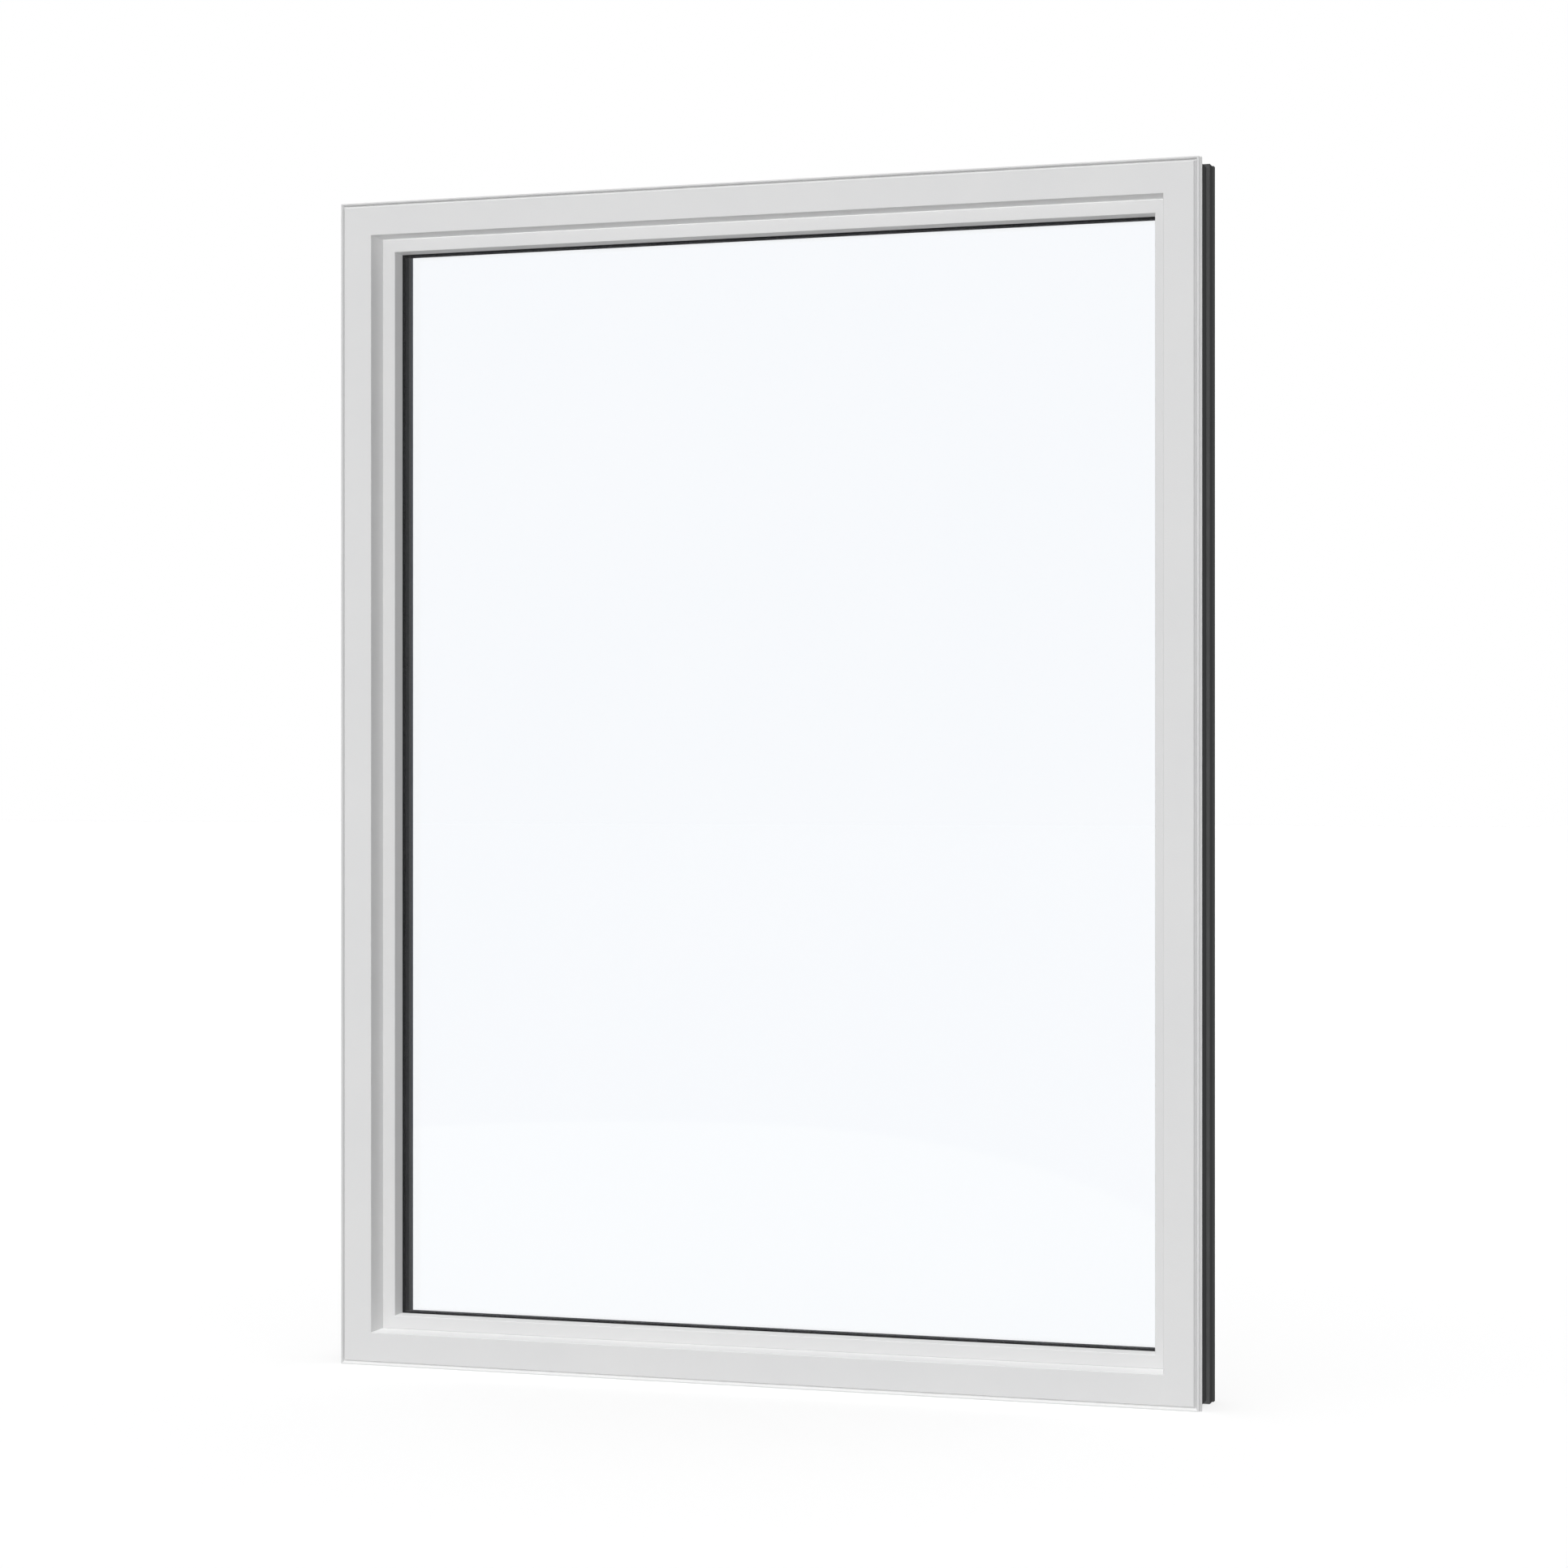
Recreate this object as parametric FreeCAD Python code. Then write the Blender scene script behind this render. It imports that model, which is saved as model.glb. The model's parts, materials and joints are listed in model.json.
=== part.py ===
import FreeCAD, Part
import math
import os
from FreeCAD import Placement, Rotation, Vector

# Fixed picture window: a light painted aluminium face over a dark frame core, with sealed double glazing.
# Millimetres. X runs along the window, Y runs from the weather side to the room, Z is up.
# Sections are drawn as (inset, depth): inset from the frame's outer edge, depth from the aluminium face.

# Whole frame, over the room-side flange
frame_width = 1188.0
frame_height = 1588.0

# Aluminium cladding
aluminium_wall = 2.0
cladding_setback = 2.5
face_width = 45.2
reveal_depth = 38.2
rim_width = 1.65
rim_recess = 1.0
groove_depth = 4.0
groove_rim_flank = 2.1
groove_floor = 1.15
groove_face_flank = 1.45
rim_side_depth = 11.9
lip_step = 1.35
lip_depth = 5.1
return_width = 12.0
aluminium_edge_radius = 1.0

# Aluminium glazing stop, the inner step of the face
ledge_width = 18.1
stop_depth = 25.7
stop_return = 9.0

# Frame core: its stepped outer side, room-side flange and upstand
core_side_inset = 5.4
shoulder_inset = 1.0
shoulder_length = 22.0
flange_thickness = 18.3
flange_back_radius = 10.0
upstand_thickness = 22.0
upstand_setback = 0.6
upstand_flat = 10.7
upstand_splay = 1.8
upstand_edge_radius = 2.5

# Sealed glazing unit and what holds it
pane_thickness = 4.0
cavity_width = 12.0
glass_cover = 12.0
edge_clearance = 4.0
gasket_thickness = 1.5
gasket_lip = 1.2
gasket_width = 9.0
gasket_nose_radius = 0.6
inner_gasket_setback = 1.5
spacer_height = 7.0
spacer_projection = 2.3
block_length = 100.0
block_margin = 1.0

# Insets across the section
rim_inset = cladding_setback
lip_inset = rim_inset - lip_step
groove_floor_inset = rim_inset + rim_width + groove_rim_flank
face_inset = groove_floor_inset + groove_floor + groove_face_flank
reveal_inset = rim_inset + face_width
ledge_inset = reveal_inset + ledge_width
glass_inset = ledge_inset - glass_cover
rebate_inset = glass_inset - edge_clearance
nose_inset = reveal_inset - aluminium_wall
upstand_inset = ledge_inset - upstand_setback
spacer_inset = ledge_inset + spacer_projection

# Depths through the section
lip_start_depth = rim_recess + rim_side_depth
core_front_depth = lip_start_depth + lip_depth
stop_seat_depth = reveal_depth + aluminium_wall
stop_back_depth = reveal_depth + stop_depth
outer_pane_depth = stop_back_depth + gasket_thickness
cavity_depth = outer_pane_depth + pane_thickness
inner_pane_depth = cavity_depth + cavity_width
inner_gasket_depth = inner_pane_depth + pane_thickness
upstand_depth = inner_gasket_depth + gasket_thickness
frame_depth = upstand_depth + upstand_thickness
flange_depth = frame_depth - flange_thickness
shoulder_depth = flange_depth - shoulder_length

# The origin lies on the flange's underside, half way along its flat
bearing_depth = flange_depth + (flange_thickness - flange_back_radius) / 2

# The way in, from each side of the frame to its middle
ACROSS = Vector(1, 0, 0)
DEPTH = Vector(0, 1, 0)
UP = Vector(0, 0, 1)
SIDES = {"head": -UP, "sill": UP, "left": ACROSS, "right": -ACROSS}


def corner_cut(before, corner, after, radius):
    """The two ends and the middle of the arc that rounds a corner."""
    to_before = (before - corner).normalize()
    to_after = (after - corner).normalize()
    half_angle = to_before.getAngle(to_after) / 2
    run = radius / math.tan(half_angle)
    middle = (to_before + to_after).normalize() * (radius / math.sin(half_angle) - radius)
    return corner + to_before * run, corner + middle, corner + to_after * run


def section(*corners):
    """A flat face through (inset, depth) corners; a third number rounds that corner."""
    points = [Vector(0, corner[1], corner[0]) for corner in corners]
    radii = [corner[2] if len(corner) > 2 else 0 for corner in corners]
    edges = []
    ends = []
    for index, point in enumerate(points):
        if radii[index]:
            after = points[(index + 1) % len(points)]
            start, middle, end = corner_cut(points[index - 1], point, after, radii[index])
            edges.append(Part.Arc(start, middle, end).toShape())
            ends.append((start, end))
        else:
            ends.append((point, point))
    for index, (start, _) in enumerate(ends):
        edges.append(Part.LineSegment(ends[index - 1][1], start).toShape())
    return Part.Face(Part.Wire(Part.__sortEdges__(edges)))


def bar(face, length):
    """A straight length of a section, centred on the middle of its side."""
    face.translate(Vector(-length / 2, 0, 0))
    return face.extrude(Vector(length, 0, 0))


def mitre_wedge(length):
    """The room that one side may fill between its two 45 degree corners."""
    reach = min(frame_width, frame_height) / 2
    half = length / 2
    corners = [(-half, 0), (half, 0), (half - reach, reach), (reach - half, reach), (-half, 0)]
    outline = Part.makePolygon([Vector(x, 0, z) for x, z in corners])
    return Part.Face(outline).extrude(Vector(0, frame_depth, 0))


def mitred_side(face, side):
    """One side of a four-sided frame of this section, cut to mitred corners and turned into its place."""
    inward = SIDES[side]
    length = frame_height if inward.x else frame_width
    shape = bar(face, length).common(mitre_wedge(length))
    to_edge = Vector(-inward.x * frame_width / 2, -bearing_depth, -inward.z * frame_height / 2)
    turn = Rotation(DEPTH.cross(inward), DEPTH, inward, "ZYX")
    shape.Placement = Placement(UP * (frame_height / 2) + to_edge, turn)
    return shape


def cladding_section():
    """Face, rim with its groove, outer side with a lip, return on the core's front, and reveal."""
    inner_side = rim_inset + aluminium_wall
    groove_back = groove_depth + aluminium_wall
    groove_inner = face_inset + aluminium_wall
    return_front = core_front_depth - aluminium_wall
    return section(
        (rim_inset, rim_recess),
        (rim_inset + rim_width, rim_recess),
        (groove_floor_inset, groove_depth),
        (groove_floor_inset + groove_floor, groove_depth),
        (face_inset, 0),
        (reveal_inset, 0, aluminium_edge_radius),
        (reveal_inset, stop_seat_depth),
        (nose_inset, stop_seat_depth),
        (nose_inset, aluminium_wall),
        (groove_inner, aluminium_wall),
        (groove_inner, groove_back),
        (inner_side, groove_back),
        (inner_side, return_front),
        (lip_inset + return_width, return_front),
        (lip_inset + return_width, core_front_depth),
        (lip_inset, core_front_depth),
        (lip_inset, lip_start_depth),
        (rim_inset, lip_start_depth),
    )


def glazing_stop_section():
    """A channel whose front is the ledge and whose back carries the outer gasket."""
    inner_side = ledge_inset - aluminium_wall
    return_tip = ledge_inset - stop_return
    return section(
        (reveal_inset, reveal_depth, aluminium_edge_radius),
        (ledge_inset, reveal_depth, aluminium_edge_radius),
        (ledge_inset, stop_back_depth),
        (return_tip, stop_back_depth),
        (return_tip, stop_back_depth - aluminium_wall),
        (inner_side, stop_back_depth - aluminium_wall),
        (inner_side, stop_seat_depth),
        (reveal_inset, stop_seat_depth),
    )


def core_section():
    """Nose behind the cladding, glazing rebate, room-side upstand, flange and stepped outer side."""
    return section(
        (core_side_inset, core_front_depth),
        (nose_inset, core_front_depth),
        (nose_inset, stop_seat_depth),
        (rebate_inset, stop_seat_depth),
        (rebate_inset, upstand_depth),
        (upstand_inset, upstand_depth),
        (upstand_inset, upstand_depth + upstand_flat),
        (upstand_inset - upstand_splay, frame_depth, upstand_edge_radius),
        (0, frame_depth, flange_back_radius),
        (0, flange_depth),
        (shoulder_inset, flange_depth),
        (shoulder_inset, shoulder_depth),
        (core_side_inset, shoulder_depth),
    )


def outer_gasket_section():
    """A black strip between the glazing stop and the outer pane, with a lip in view."""
    lip = ledge_inset + gasket_lip
    return section(
        (lip - gasket_width, stop_back_depth),
        (lip, stop_back_depth, gasket_nose_radius),
        (lip, outer_pane_depth, gasket_nose_radius),
        (lip - gasket_width, outer_pane_depth),
    )


def inner_gasket_section():
    """A black strip between the inner pane and the core's upstand."""
    lip = upstand_inset - inner_gasket_setback
    return section(
        (lip - gasket_width, inner_gasket_depth),
        (lip, inner_gasket_depth, gasket_nose_radius),
        (lip, upstand_depth, gasket_nose_radius),
        (lip - gasket_width, upstand_depth),
    )


def spacer_section():
    """The bar that holds the two panes apart."""
    return section(
        (spacer_inset - spacer_height, cavity_depth),
        (spacer_inset, cavity_depth),
        (spacer_inset, inner_pane_depth),
        (spacer_inset - spacer_height, inner_pane_depth),
    )


def edge_seal_section():
    """The sealant that fills the glazing unit's edge outside the spacer."""
    return section(
        (glass_inset, cavity_depth),
        (spacer_inset - spacer_height, cavity_depth),
        (spacer_inset - spacer_height, inner_pane_depth),
        (glass_inset, inner_pane_depth),
    )


def pane(front_depth):
    """One sheet of glass."""
    width = frame_width - 2 * glass_inset
    height = frame_height - 2 * glass_inset
    corner = Vector(-width / 2, front_depth - bearing_depth, glass_inset)
    return Part.makeBox(width, pane_thickness, height, corner)


def setting_block(quarter):
    """A packer under a quarter point of the glass: -1 on the left, 1 on the right."""
    middle = quarter * (frame_width - 2 * glass_inset) / 4
    width = inner_gasket_depth - outer_pane_depth + 2 * block_margin
    front = outer_pane_depth - block_margin - bearing_depth
    corner = Vector(middle - block_length / 2, front, rebate_inset)
    return Part.makeBox(block_length, width, edge_clearance, corner)


def build():
    """All pieces by name."""
    sections = {
        "cladding": cladding_section,
        "glazing_stop": glazing_stop_section,
        "core": core_section,
        "outer_gasket": outer_gasket_section,
        "inner_gasket": inner_gasket_section,
        "spacer": spacer_section,
        "edge_seal": edge_seal_section,
    }
    pieces = {}
    for name, draw in sections.items():
        for side in SIDES:
            pieces[f"{side}_{name}"] = mitred_side(draw(), side)
    pieces["outer_pane"] = pane(outer_pane_depth)
    pieces["inner_pane"] = pane(inner_pane_depth)
    pieces["left_setting_block"] = setting_block(-1)
    pieces["right_setting_block"] = setting_block(1)
    return pieces


os.makedirs("parts", exist_ok=True)
for node, shape in build().items():
    shape.exportStep(f"parts/{node}.step")
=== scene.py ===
import json
import math

import bpy
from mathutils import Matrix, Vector


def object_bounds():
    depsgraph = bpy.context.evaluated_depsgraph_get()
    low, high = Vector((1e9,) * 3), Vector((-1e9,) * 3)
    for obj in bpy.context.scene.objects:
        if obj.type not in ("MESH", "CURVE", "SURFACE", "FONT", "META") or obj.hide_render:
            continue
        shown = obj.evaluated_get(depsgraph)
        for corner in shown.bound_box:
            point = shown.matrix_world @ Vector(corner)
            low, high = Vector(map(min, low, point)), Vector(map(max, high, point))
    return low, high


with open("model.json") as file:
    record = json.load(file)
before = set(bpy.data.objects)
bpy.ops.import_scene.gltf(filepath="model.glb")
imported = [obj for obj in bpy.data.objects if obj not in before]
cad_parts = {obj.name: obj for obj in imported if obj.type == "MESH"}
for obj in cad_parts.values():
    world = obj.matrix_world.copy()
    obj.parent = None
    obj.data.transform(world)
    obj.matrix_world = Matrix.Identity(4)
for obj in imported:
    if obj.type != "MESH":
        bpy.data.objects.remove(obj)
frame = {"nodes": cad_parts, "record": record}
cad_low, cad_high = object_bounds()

# Fixed picture window: satin powder-coated aluminium over a charcoal core, clear sealed double glazing
# in black gaskets. Metres; the weather side looks towards -Y, the room lies towards +Y, and Z is up.

# Finishes: linear colours of the clean surface, of its second tone, of worn edges and dust, and of painted
# light and shade
COAT_PALE = (0.698, 0.698, 0.697, 1)
COAT_SHADE = (0.680, 0.681, 0.683, 1)
COAT_WORN = (0.740, 0.740, 0.738, 1)
CHARCOAL = (0.0580, 0.0595, 0.0600, 1)
CHARCOAL_PALE = (0.0660, 0.0675, 0.0680, 1)
CHARCOAL_WORN = (0.0900, 0.0915, 0.0920, 1)
# Painted light: a paler charcoal for the core's front faces and for faces turned in round the glass
CHARCOAL_PAINTED_LIGHT = (0.1020, 0.1035, 0.1040, 1)
RUBBER = (0.0150, 0.0155, 0.0165, 1)
RUBBER_BLOOM = (0.0250, 0.0255, 0.0270, 1)
RUBBER_WORN = (0.0330, 0.0330, 0.0340, 1)
SPACER_BLACK = (0.0200, 0.0205, 0.0220, 1)
SPACER_GREY = (0.0300, 0.0305, 0.0325, 1)
SEALANT = (0.0120, 0.0120, 0.0135, 1)
SEALANT_PALE = (0.0200, 0.0200, 0.0220, 1)
BLOCK_GREY = (0.0480, 0.0480, 0.0470, 1)
BLOCK_PALE = (0.0650, 0.0650, 0.0640, 1)
GLASS_CLEAR = (0.990, 0.995, 0.998, 1)
GLASS_FILM = (0.984, 0.991, 0.996, 1)
DUST = (0.480, 0.470, 0.450, 1)
# Painted shade: a darker coat colour laid into grooves and down-facing flanks, where shade falls
GROOVE_SHADE_COLOUR = (0.300, 0.300, 0.302, 1)

# Effects: the value at which each one has no part yet, and the value at which it is full
CLOUD_TONE = (0.3, 0.7)
WEAR_TURN = (0.995, 0.80)
WEAR_PATCHES = (0.35, 0.65)
DUST_UPWARD = (0.4, 1.0)
DUST_SPECKS = (0.4, 0.75)
# Painted shade in grooves: how open a point is, and how far its side faces up
GROOVE_SHADE_OPENNESS = (0.85, 0.45)
GROOVE_SHADE_FACING = (0.9, -0.82)
# Painted light on the core: how far a side faces the front, how far it faces in round the glass, and its
# patches
PAINTED_LIGHT_FACING = (-0.3, -0.9)
PAINTED_LIGHT_INWARD = (-0.25, -0.45)
PAINTED_LIGHT_PATCHES = (0.35, 0.65)
PAINTED_LIGHT_LEAST = 0.7

# What the opaque finishes have in common: how much of the worn tone shows, how far dust dulls them,
# and how strong their relief is
WEAR_SHARE = 0.6
DUST_DULLING = 0.3
RELIEF_STRENGTH = 0.35

# Glass: its index, the film that wiping leaves, and a faint wave
GLASS_INDEX = 1.45
FILM_CLOUDS_PER_METRE = 2.2
FILM_ROUGHNESS = (0.0, 0.012)
WAVE_STRENGTH = 0.02
WAVE_HEIGHT = 0.0004

# Studio: an even, soft light from all round, a key lamp high in front, and pairs of fill lamps, with a
# share for each pair by front (-1) or back (1) and below (-1) or above (1). The floor fills from below.
SOFT_LIGHT = (0.35, 0.35, 0.35, 1)
KEY_SHARE = 0.731
KEY_FROM = (0, -0.580, 0.815)
FILL_SHARES = {(-1, 1): 0.115, (1, 1): 0.115, (1, -1): 0.090}
WHITE = (1, 1, 1, 1)
FRONT_SKY = (0.68, 0.75, 0.91, 1)
SKY_EDGE = 0.2

# Floor: its reach and tones, and a painted, round-ended pool of light before the window that glows only in the
# glass's reflection
FLOOR_REACH = 60.0
FLOOR_PALE = (0.840, 0.840, 0.840, 1)
FLOOR_BOUNCE = (0.508, 0.508, 0.508, 1)
FLOOR_EVENNESS = 0.75
FLOOR_POOL = (0.82, 0.89, 1.00, 1)
POOL_END = (-1.18, -3.27)
POOL_BEND = 0.80
POOL_SOFTNESS = 0.04

# Camera: level, at half the window's height, well to its right and turned to the left
PHOTO_WIDTH = 1932
FOCAL_PIXELS = 4200
SENSOR_WIDTH = 36.0
CAMERA_RIGHT = 1.3984
CAMERA_STEP_BACK = 4.2491
CAMERA_LEVEL = math.radians(90)
CAMERA_TURN = math.radians(17.685)

# A Mix node has sockets of one name for each kind of value: these are the places of its colours
MIX_FIRST = 6
MIX_SECOND = 7
MIX_RESULT = 2

# A count of bounces lies above this from the first bounce on
ANY_BOUNCE = 0.5


def give(tree, socket, value):
    """Link a socket to another node's output, or set it to a value."""
    if isinstance(value, bpy.types.NodeSocket):
        tree.links.new(value, socket)
    else:
        socket.default_value = value


def add(tree, kind, sockets, **settings):
    """A node of this kind with its settings, and its sockets given by name or place."""
    node = tree.nodes.new(kind)
    for name, value in settings.items():
        setattr(node, name, value)
    for name, value in sockets.items():
        give(tree, node.inputs[name], value)
    return node


def maths(tree, operation, first, second):
    """One sum on two values."""
    return add(tree, "ShaderNodeMath", {0: first, 1: second}, operation=operation).outputs[0]


def product(tree, first, *others):
    """Values multiplied together."""
    for other in others:
        first = maths(tree, "MULTIPLY", first, other)
    return first


def spread(tree, value, low, high, from_low=0.0, from_high=1.0):
    """A value carried from one range to another, and held inside it."""
    ranges = {"Value": value, "From Min": from_low, "From Max": from_high, "To Min": low, "To Max": high}
    return add(tree, "ShaderNodeMapRange", ranges).outputs["Result"]


def share(tree, value, none, full):
    """0 where a value has reached none, 1 where it has reached full, and even steps between."""
    return spread(tree, value, 0.0, 1.0, none, full)


def tint(tree, mask, first, second):
    """The first colour where the mask is 0, the second where it is 1."""
    sockets = {0: mask, MIX_FIRST: first, MIX_SECOND: second}
    return add(tree, "ShaderNodeMix", sockets, data_type="RGBA").outputs[MIX_RESULT]


def noise(tree, place, scale, detail, roughness=0.5):
    """A noise pattern in space, between 0 and 1."""
    sockets = {"Vector": place, "Scale": scale, "Detail": detail, "Roughness": roughness}
    return add(tree, "ShaderNodeTexNoise", sockets).outputs["Fac"]


def place_on_piece(tree):
    """Where a point lies on its piece."""
    return add(tree, "ShaderNodeTexCoord", {}).outputs["Object"]


def facing(tree):
    """The way that a surface faces."""
    return add(tree, "ShaderNodeNewGeometry", {}).outputs["Normal"]


def part_of(tree, vector, axis):
    """A vector's X, Y or Z."""
    return add(tree, "ShaderNodeSeparateXYZ", {0: vector}).outputs[axis]


def along(tree, first, second):
    """How far one vector runs along another."""
    sockets = {0: first, 1: second}
    return add(tree, "ShaderNodeVectorMath", sockets, operation="DOT_PRODUCT").outputs["Value"]


def effect(name, inputs, outputs):
    """An empty node group for one effect: its tree, the outputs of its input node, and its output node."""
    tree = bpy.data.node_groups.new(name, "ShaderNodeTree")
    for socket, default in inputs.items():
        made = tree.interface.new_socket(socket, in_out="INPUT", socket_type="NodeSocketFloat")
        made.default_value = default
    for socket in outputs:
        tree.interface.new_socket(socket, in_out="OUTPUT", socket_type="NodeSocketFloat")
    return tree, tree.nodes.new("NodeGroupInput").outputs, tree.nodes.new("NodeGroupOutput")


def fine_grain():
    """Skin of a coating or moulding: a fine height for bump, and a slow, cloudy tone."""
    inputs = {"Grains per metre": 900.0, "Clouds per metre": 7.0}
    tree, given, result = effect("Fine grain", inputs, ("Height", "Tone"))
    place = place_on_piece(tree)
    grains = noise(tree, place, given["Grains per metre"], detail=3.0, roughness=0.45)
    clouds = noise(tree, place, given["Clouds per metre"], detail=4.0, roughness=0.6)
    give(tree, result.inputs["Height"], grains)
    give(tree, result.inputs["Tone"], share(tree, clouds, *CLOUD_TONE))
    return tree


def edge_wear():
    """Arrises where a finish is thinner: the surface turns within the given width, broken up by patches."""
    tree, given, result = effect("Edge wear", {"Width": 0.001, "Patches per metre": 40.0}, ("Mask",))
    rounded = add(tree, "ShaderNodeBevel", {"Radius": given["Width"]}, samples=6).outputs["Normal"]
    turned = share(tree, along(tree, rounded, facing(tree)), *WEAR_TURN)
    patches = noise(tree, place_on_piece(tree), given["Patches per metre"], detail=5.0)
    give(tree, result.inputs["Mask"], product(tree, turned, share(tree, patches, *WEAR_PATCHES)))
    return tree


def settled_dust():
    """A thin, patchy film on what faces up."""
    tree, given, result = effect("Settled dust", {"Amount": 0.1, "Specks per metre": 350.0}, ("Mask",))
    upward = share(tree, part_of(tree, facing(tree), "Z"), *DUST_UPWARD)
    specks = noise(tree, place_on_piece(tree), given["Specks per metre"], detail=4.0, roughness=0.7)
    mask = product(tree, upward, share(tree, specks, *DUST_SPECKS), given["Amount"])
    give(tree, result.inputs["Mask"], mask)
    return tree


def painted_groove_shade():
    """Painted shade: a darker film in narrow grooves, stronger the more a side faces down and weaker the more
    it faces up.
    """
    tree, given, result = effect("Painted groove shade", {"Amount": 0.5, "Reach": 0.004}, ("Mask",))
    sockets = {"Distance": given["Reach"]}
    openness = add(tree, "ShaderNodeAmbientOcclusion", sockets, samples=8, only_local=True).outputs["AO"]
    # Painted shade grows the more a side faces down
    shade_below = share(tree, part_of(tree, facing(tree), "Z"), *GROOVE_SHADE_FACING)
    mask = product(tree, share(tree, openness, *GROOVE_SHADE_OPENNESS), shade_below, given["Amount"])
    give(tree, result.inputs["Mask"], mask)
    return tree


def painted_face_light():
    """Painted light: a paler, uneven skin on the core's faces towards the front and on faces turned in round
    the glass.
    """
    tree, given, result = effect("Painted face light", {"Amount": 0.8, "Patches per metre": 30.0}, ("Mask",))
    place = place_on_piece(tree)
    way = facing(tree)
    sockets = {0: place, 1: tuple((cad_low + cad_high) / 2)}
    from_middle = add(tree, "ShaderNodeVectorMath", sockets, operation="SUBTRACT").outputs["Vector"]
    outward = share(tree, part_of(tree, way, "Y"), *PAINTED_LIGHT_FACING)
    inward = share(tree, along(tree, from_middle, way), *PAINTED_LIGHT_INWARD)
    patches = noise(tree, place, given["Patches per metre"], detail=4.0)
    patches = spread(tree, patches, PAINTED_LIGHT_LEAST, 1.0, *PAINTED_LIGHT_PATCHES)
    mask = product(tree, maths(tree, "MAXIMUM", outward, inward), patches, given["Amount"])
    give(tree, result.inputs["Mask"], mask)
    return tree


FINE_GRAIN = fine_grain()
EDGE_WEAR = edge_wear()
SETTLED_DUST = settled_dust()
GROOVE_SHADE_EFFECT = painted_groove_shade()
PAINTED_FACE_LIGHT = painted_face_light()


def place_effect(tree, group, **values):
    """One effect in a material's tree, with its own values; returns its outputs."""
    node = add(tree, "ShaderNodeGroup", {}, node_tree=group)
    for name, value in values.items():
        node.inputs[name.replace("_", " ")].default_value = value
    return node.outputs


def new_finish(name, **constants):
    """A material with one principled shader, its fixed sockets set; returns material, tree and shader."""
    material = bpy.data.materials.new(name)
    material.use_nodes = True
    tree = material.node_tree
    shader = tree.nodes["Principled BSDF"]
    for socket, value in constants.items():
        shader.inputs[socket.replace("_", " ")].default_value = value
    return material, tree, shader


def opaque_finish(name, tones, worn, grains, relief, gloss, specular, wear_width, dust,
                  groove_shade=0.0, painted_light=None):
    """A coated, moulded or rubber finish: two cloudy tones, worn arrises, dust film, fine relief, uneven
    gloss, and optional painted light and painted shade.
    """
    material, tree, shader = new_finish(name, Specular_IOR_Level=specular)
    grain = place_effect(tree, FINE_GRAIN, Grains_per_metre=grains)
    wear = place_effect(tree, EDGE_WEAR, Width=wear_width)["Mask"]
    film = place_effect(tree, SETTLED_DUST, Amount=dust)["Mask"]
    colour = tint(tree, grain["Tone"], *tones)
    # Painted light: paler colour on front faces and on faces round the glass
    if painted_light:
        colour = tint(tree, place_effect(tree, PAINTED_FACE_LIGHT)["Mask"], colour, painted_light)
    colour = tint(tree, product(tree, wear, WEAR_SHARE), colour, worn)
    # Painted shade: the coat is darkened in its grooves
    if groove_shade:
        colour = tint(tree, place_effect(tree, GROOVE_SHADE_EFFECT, Amount=groove_shade)["Mask"], colour, GROOVE_SHADE_COLOUR)
    give(tree, shader.inputs["Base Color"], tint(tree, film, colour, DUST))
    rough = spread(tree, grain["Tone"], *gloss)
    rough = maths(tree, "ADD", rough, product(tree, film, DUST_DULLING))
    give(tree, shader.inputs["Roughness"], rough)
    sockets = {"Height": grain["Height"], "Strength": RELIEF_STRENGTH, "Distance": relief}
    give(tree, shader.inputs["Normal"], add(tree, "ShaderNodeBump", sockets).outputs["Normal"])
    return material


def clear_glass():
    """Float glass: clear, faintly cool, with a barely visible film of wiping marks."""
    material, tree, shader = new_finish("Clear glass", Transmission_Weight=1.0, IOR=GLASS_INDEX)
    film = place_effect(tree, FINE_GRAIN, Clouds_per_metre=FILM_CLOUDS_PER_METRE)["Tone"]
    give(tree, shader.inputs["Base Color"], tint(tree, film, GLASS_CLEAR, GLASS_FILM))
    give(tree, shader.inputs["Roughness"], spread(tree, film, *FILM_ROUGHNESS))
    sockets = {"Height": film, "Strength": WAVE_STRENGTH, "Distance": WAVE_HEIGHT}
    give(tree, shader.inputs["Normal"], add(tree, "ShaderNodeBump", sockets).outputs["Normal"])
    return material


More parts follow.
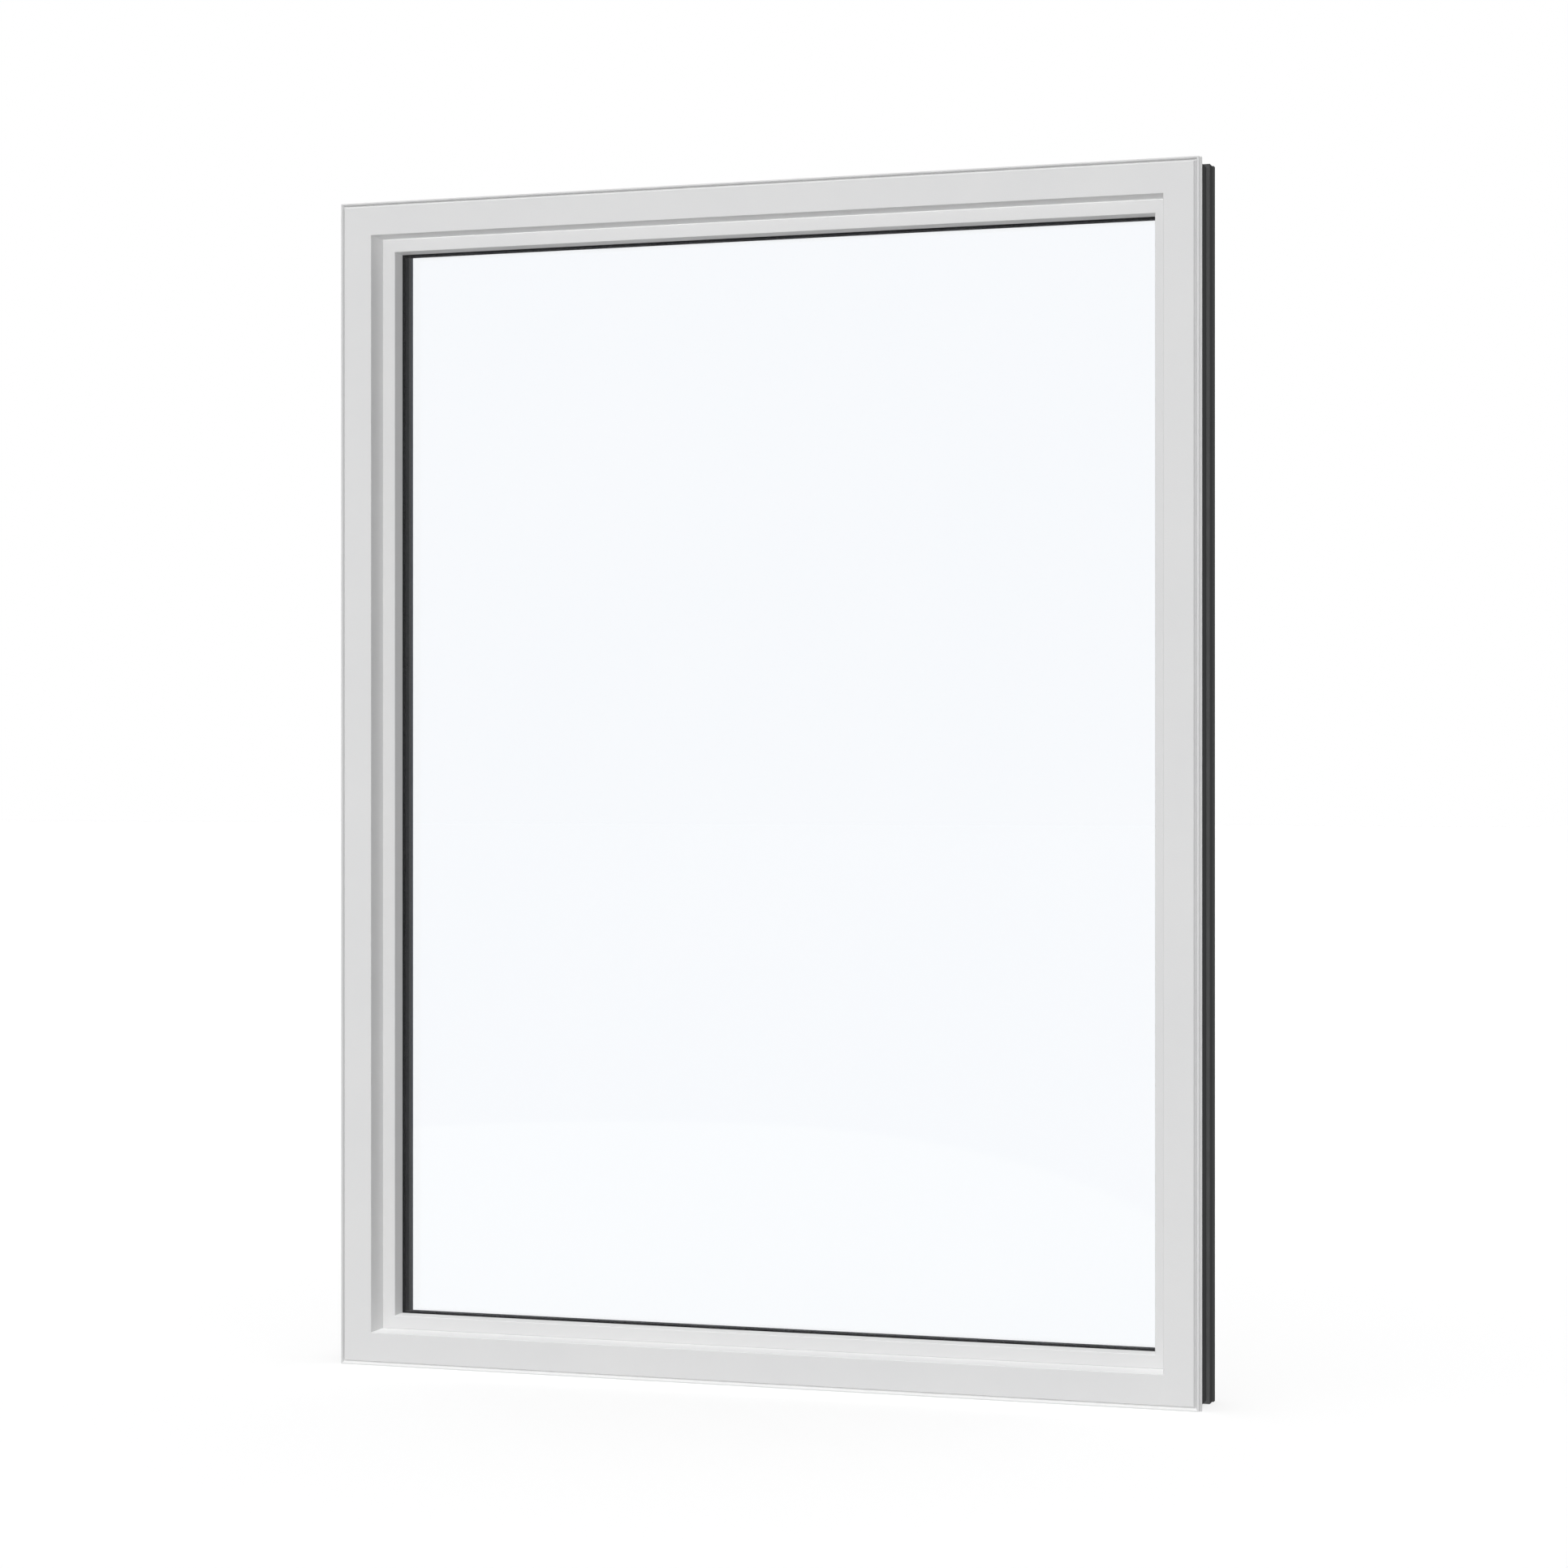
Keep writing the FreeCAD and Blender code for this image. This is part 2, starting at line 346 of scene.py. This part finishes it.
FINISHES = {
    "light_painted_aluminium": opaque_finish(
        "Pale powder coat", (COAT_PALE, COAT_SHADE), COAT_WORN,
        grains=900.0, relief=0.0003, gloss=(0.42, 0.52), specular=0.20, wear_width=0.0006, dust=0.05,
        groove_shade=0.70),
    "dark_frame_core": opaque_finish(
        "Charcoal core", (CHARCOAL, CHARCOAL_PALE), CHARCOAL_WORN,
        grains=1400.0, relief=0.00015, gloss=(0.72, 0.84), specular=0.0, wear_width=0.0008, dust=0.10,
        painted_light=CHARCOAL_PAINTED_LIGHT),
    "black_gasket": opaque_finish(
        "Black gasket rubber", (RUBBER, RUBBER_BLOOM), RUBBER_WORN,
        grains=2200.0, relief=0.00008, gloss=(0.70, 0.85), specular=0.02, wear_width=0.0004, dust=0.10),
    "black_spacer": opaque_finish(
        "Satin black spacer", (SPACER_BLACK, SPACER_GREY), SPACER_GREY,
        grains=1800.0, relief=0.00006, gloss=(0.60, 0.75), specular=0.02, wear_width=0.0004, dust=0.0),
    "edge_sealant": opaque_finish(
        "Edge sealant", (SEALANT, SEALANT_PALE), SEALANT_PALE,
        grains=500.0, relief=0.0003, gloss=(0.55, 0.75), specular=0.3, wear_width=0.0005, dust=0.0),
    "setting_block": opaque_finish(
        "Setting block plastic", (BLOCK_GREY, BLOCK_PALE), BLOCK_PALE,
        grains=1500.0, relief=0.0001, gloss=(0.45, 0.6), specular=0.4, wear_width=0.0006, dust=0.08),
    "clear_glass": clear_glass(),
}

for part in frame["record"]["subparts"]:
    materials = frame["nodes"][part["node"]].data.materials
    materials.clear()
    materials.append(FINISHES[part["material_slot"]])


def looked_at(tree):
    """Three masks: what is seen and does not light a matt surface, what is mirrored, what is behind glass."""
    rays = add(tree, "ShaderNodeLightPath", {}).outputs
    through = rays["Is Transmission Ray"]
    seen = maths(tree, "MAXIMUM", rays["Is Camera Ray"], rays["Is Glossy Ray"])
    seen = maths(tree, "MAXIMUM", seen, through)
    seen = product(tree, seen, maths(tree, "LESS_THAN", rays["Diffuse Depth"], ANY_BOUNCE))
    return seen, maths(tree, "GREATER_THAN", rays["Glossy Depth"], ANY_BOUNCE), through


def either(tree, mask, first, second):
    """The first shader where the mask is 0, the second where it is 1."""
    return add(tree, "ShaderNodeMixShader", {0: mask, 1: first, 2: second}).outputs[0]


def studio_floor():
    """A wide pale floor that keeps the window's shadow; a painted pool of light on it glows only in the
    glass's reflection.
    """
    mesh = bpy.data.meshes.new("studio_floor")
    corners = [(x * FLOOR_REACH, y * FLOOR_REACH, 0) for x, y in ((-1, -1), (1, -1), (1, 1), (-1, 1))]
    mesh.from_pydata(corners, [], [(0, 1, 2, 3)])
    floor = bpy.data.objects.new("studio_floor", mesh)
    bpy.context.scene.collection.objects.link(floor)
    material = bpy.data.materials.new("Pale studio floor")
    material.use_nodes = True
    tree = material.node_tree
    tree.nodes.remove(tree.nodes["Principled BSDF"])
    seen, mirrored, through = looked_at(tree)
    place = add(tree, "ShaderNodeNewGeometry", {}).outputs["Position"]
    place = add(tree, "ShaderNodeSeparateXYZ", {0: place}).outputs
    before = maths(tree, "LESS_THAN", place["Y"], cad_low.y)
    pool_x, pool_y = POOL_END
    aside = maths(tree, "SUBTRACT", place["X"], pool_x)
    pool = maths(tree, "SUBTRACT", place["Y"], product(tree, aside, aside, POOL_BEND))
    pool = share(tree, pool, pool_y - POOL_SOFTNESS, pool_y + POOL_SOFTNESS)
    bounce = add(tree, "ShaderNodeBsdfDiffuse", {"Color": FLOOR_BOUNCE}).outputs[0]
    pale = add(tree, "ShaderNodeBsdfDiffuse", {"Color": FLOOR_PALE}).outputs[0]
    white = add(tree, "ShaderNodeEmission", {"Color": WHITE}).outputs[0]
    pale = either(tree, product(tree, through, FLOOR_EVENNESS), pale, white)
    # Painted reflection: a glowing sky colour and pool on the floor, seen only by rays that the glass mirrors
    painted_pool = add(tree, "ShaderNodeEmission", {"Color": tint(tree, pool, FRONT_SKY, FLOOR_POOL)}).outputs[0]
    shown = either(tree, product(tree, mirrored, before), pale, painted_pool)
    give(tree, tree.nodes["Material Output"].inputs["Surface"], either(tree, seen, bounce, shown))
    mesh.materials.append(material)


def studio_world():
    """Even soft light all round, seen as white, with a pale sky before the window for the glass to mirror."""
    world = bpy.data.worlds.new("Soft studio")
    world.use_nodes = True
    tree = world.node_tree
    seen, mirrored, _ = looked_at(tree)
    way = add(tree, "ShaderNodeTexCoord", {}).outputs["Generated"]
    before = share(tree, part_of(tree, way, "Y"), SKY_EDGE, -SKY_EDGE)
    sky = tint(tree, product(tree, mirrored, before), WHITE, FRONT_SKY)
    soft = tree.nodes["Background"]
    soft.inputs["Color"].default_value = SOFT_LIGHT
    shown = add(tree, "ShaderNodeBackground", {"Color": sky}).outputs[0]
    give(tree, tree.nodes["World Output"].inputs["Surface"], either(tree, seen, soft.outputs[0], shown))
    bpy.context.scene.world = world


def studio_light(name, strength, towards):
    """A distant lamp that fills every step of the frame alike: it throws no shadow and no highlight."""
    lamp = bpy.data.lights.new(name, "SUN")
    lamp.energy = strength * math.pi
    lamp.angle = 0
    lamp.use_shadow = False
    light = bpy.data.objects.new(name, lamp)
    light.rotation_euler = Vector(towards).to_track_quat("Z", "Y").to_euler()
    light.visible_glossy = False
    light.visible_transmission = False
    bpy.context.scene.collection.objects.link(light)


def photo_camera():
    """The camera at the photograph's angle."""
    lens = bpy.data.cameras.new("photo_camera")
    lens.sensor_width = SENSOR_WIDTH
    lens.lens = FOCAL_PIXELS / PHOTO_WIDTH * SENSOR_WIDTH
    camera = bpy.data.objects.new("photo_camera", lens)
    camera.location = (CAMERA_RIGHT, cad_low.y - CAMERA_STEP_BACK, (cad_low.z + cad_high.z) / 2)
    camera.rotation_euler = (CAMERA_LEVEL, 0, CAMERA_TURN)
    bpy.context.scene.collection.objects.link(camera)
    bpy.context.scene.camera = camera


studio_floor()
studio_world()
studio_light("key_light", KEY_SHARE, KEY_FROM)
for side in (-1, 1):
    for (depth, height), fill_share in FILL_SHARES.items():
        studio_light("fill_light", fill_share, (side, depth, height))
photo_camera()
bpy.context.scene.view_settings.view_transform = "Standard"
